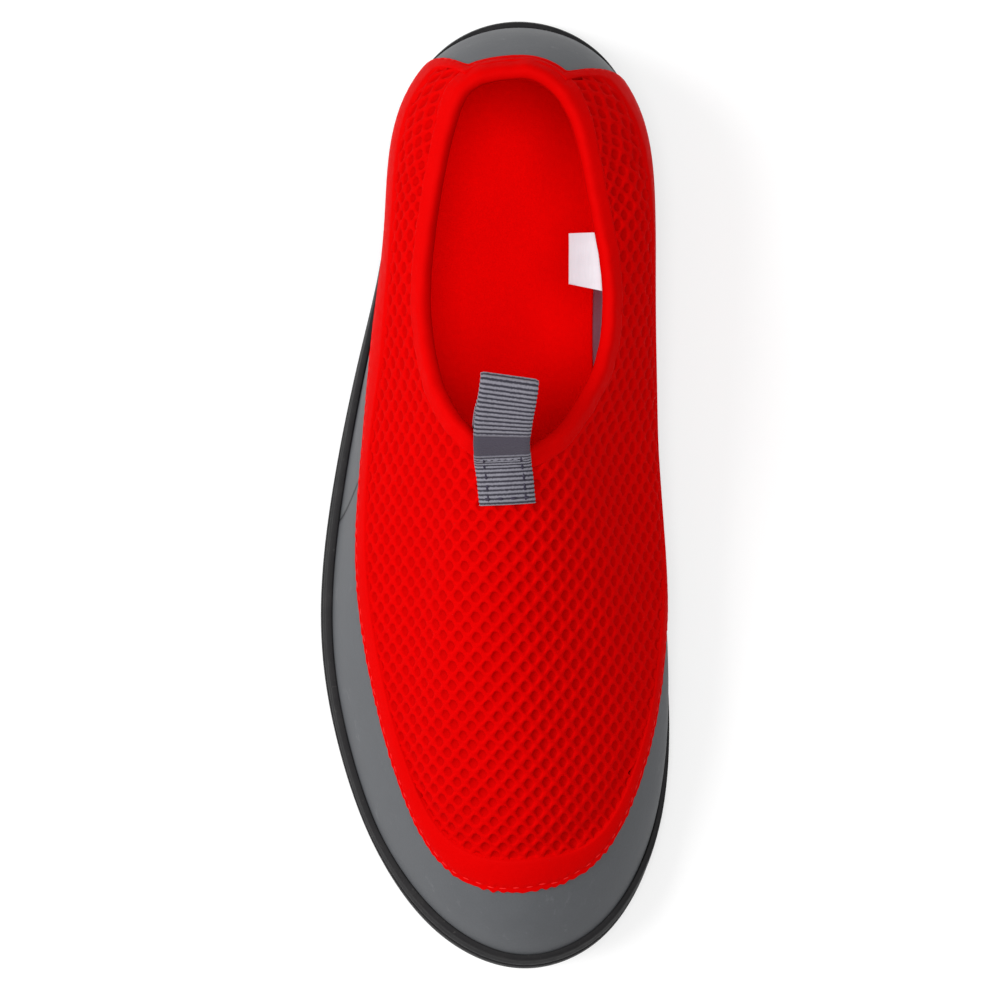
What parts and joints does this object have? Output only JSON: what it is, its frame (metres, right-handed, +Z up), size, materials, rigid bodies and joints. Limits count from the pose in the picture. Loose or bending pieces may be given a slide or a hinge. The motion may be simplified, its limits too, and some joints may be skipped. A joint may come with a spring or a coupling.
{
  "type": "water shoe",
  "caption": "Slip-on water shoe for the right foot: red mesh upper, grey toe and heel panels, padded collar, webbing pull loop and a dark rubber cup sole.",
  "frame": {"origin": "centre of the bounding box on the plane that the shoe stands on", "axes": "+Z up, +Y from the toe to the heel, +X towards the big toe's side"},
  "size_m": [0.1088, 0.2928, 0.0906],
  "materials": {
    "outsole": "matt moulded rubber",
    "mesh": "open air mesh with a smooth border",
    "panel": "matt coated synthetic leather",
    "collar": "padded knit",
    "footbed": "cloth-faced foam",
    "webbing": "ribbed woven webbing",
    "label": "woven satin, blank"
  },
  "bodies": {
    "root": {"outsole": "outsole", "upper": "mesh", "toe_rand": "panel", "heel_counter": "panel", "collar": "collar", "insole": "footbed", "pull_loop": "webbing", "size_label": "label"}
  },
  "joints": []
}
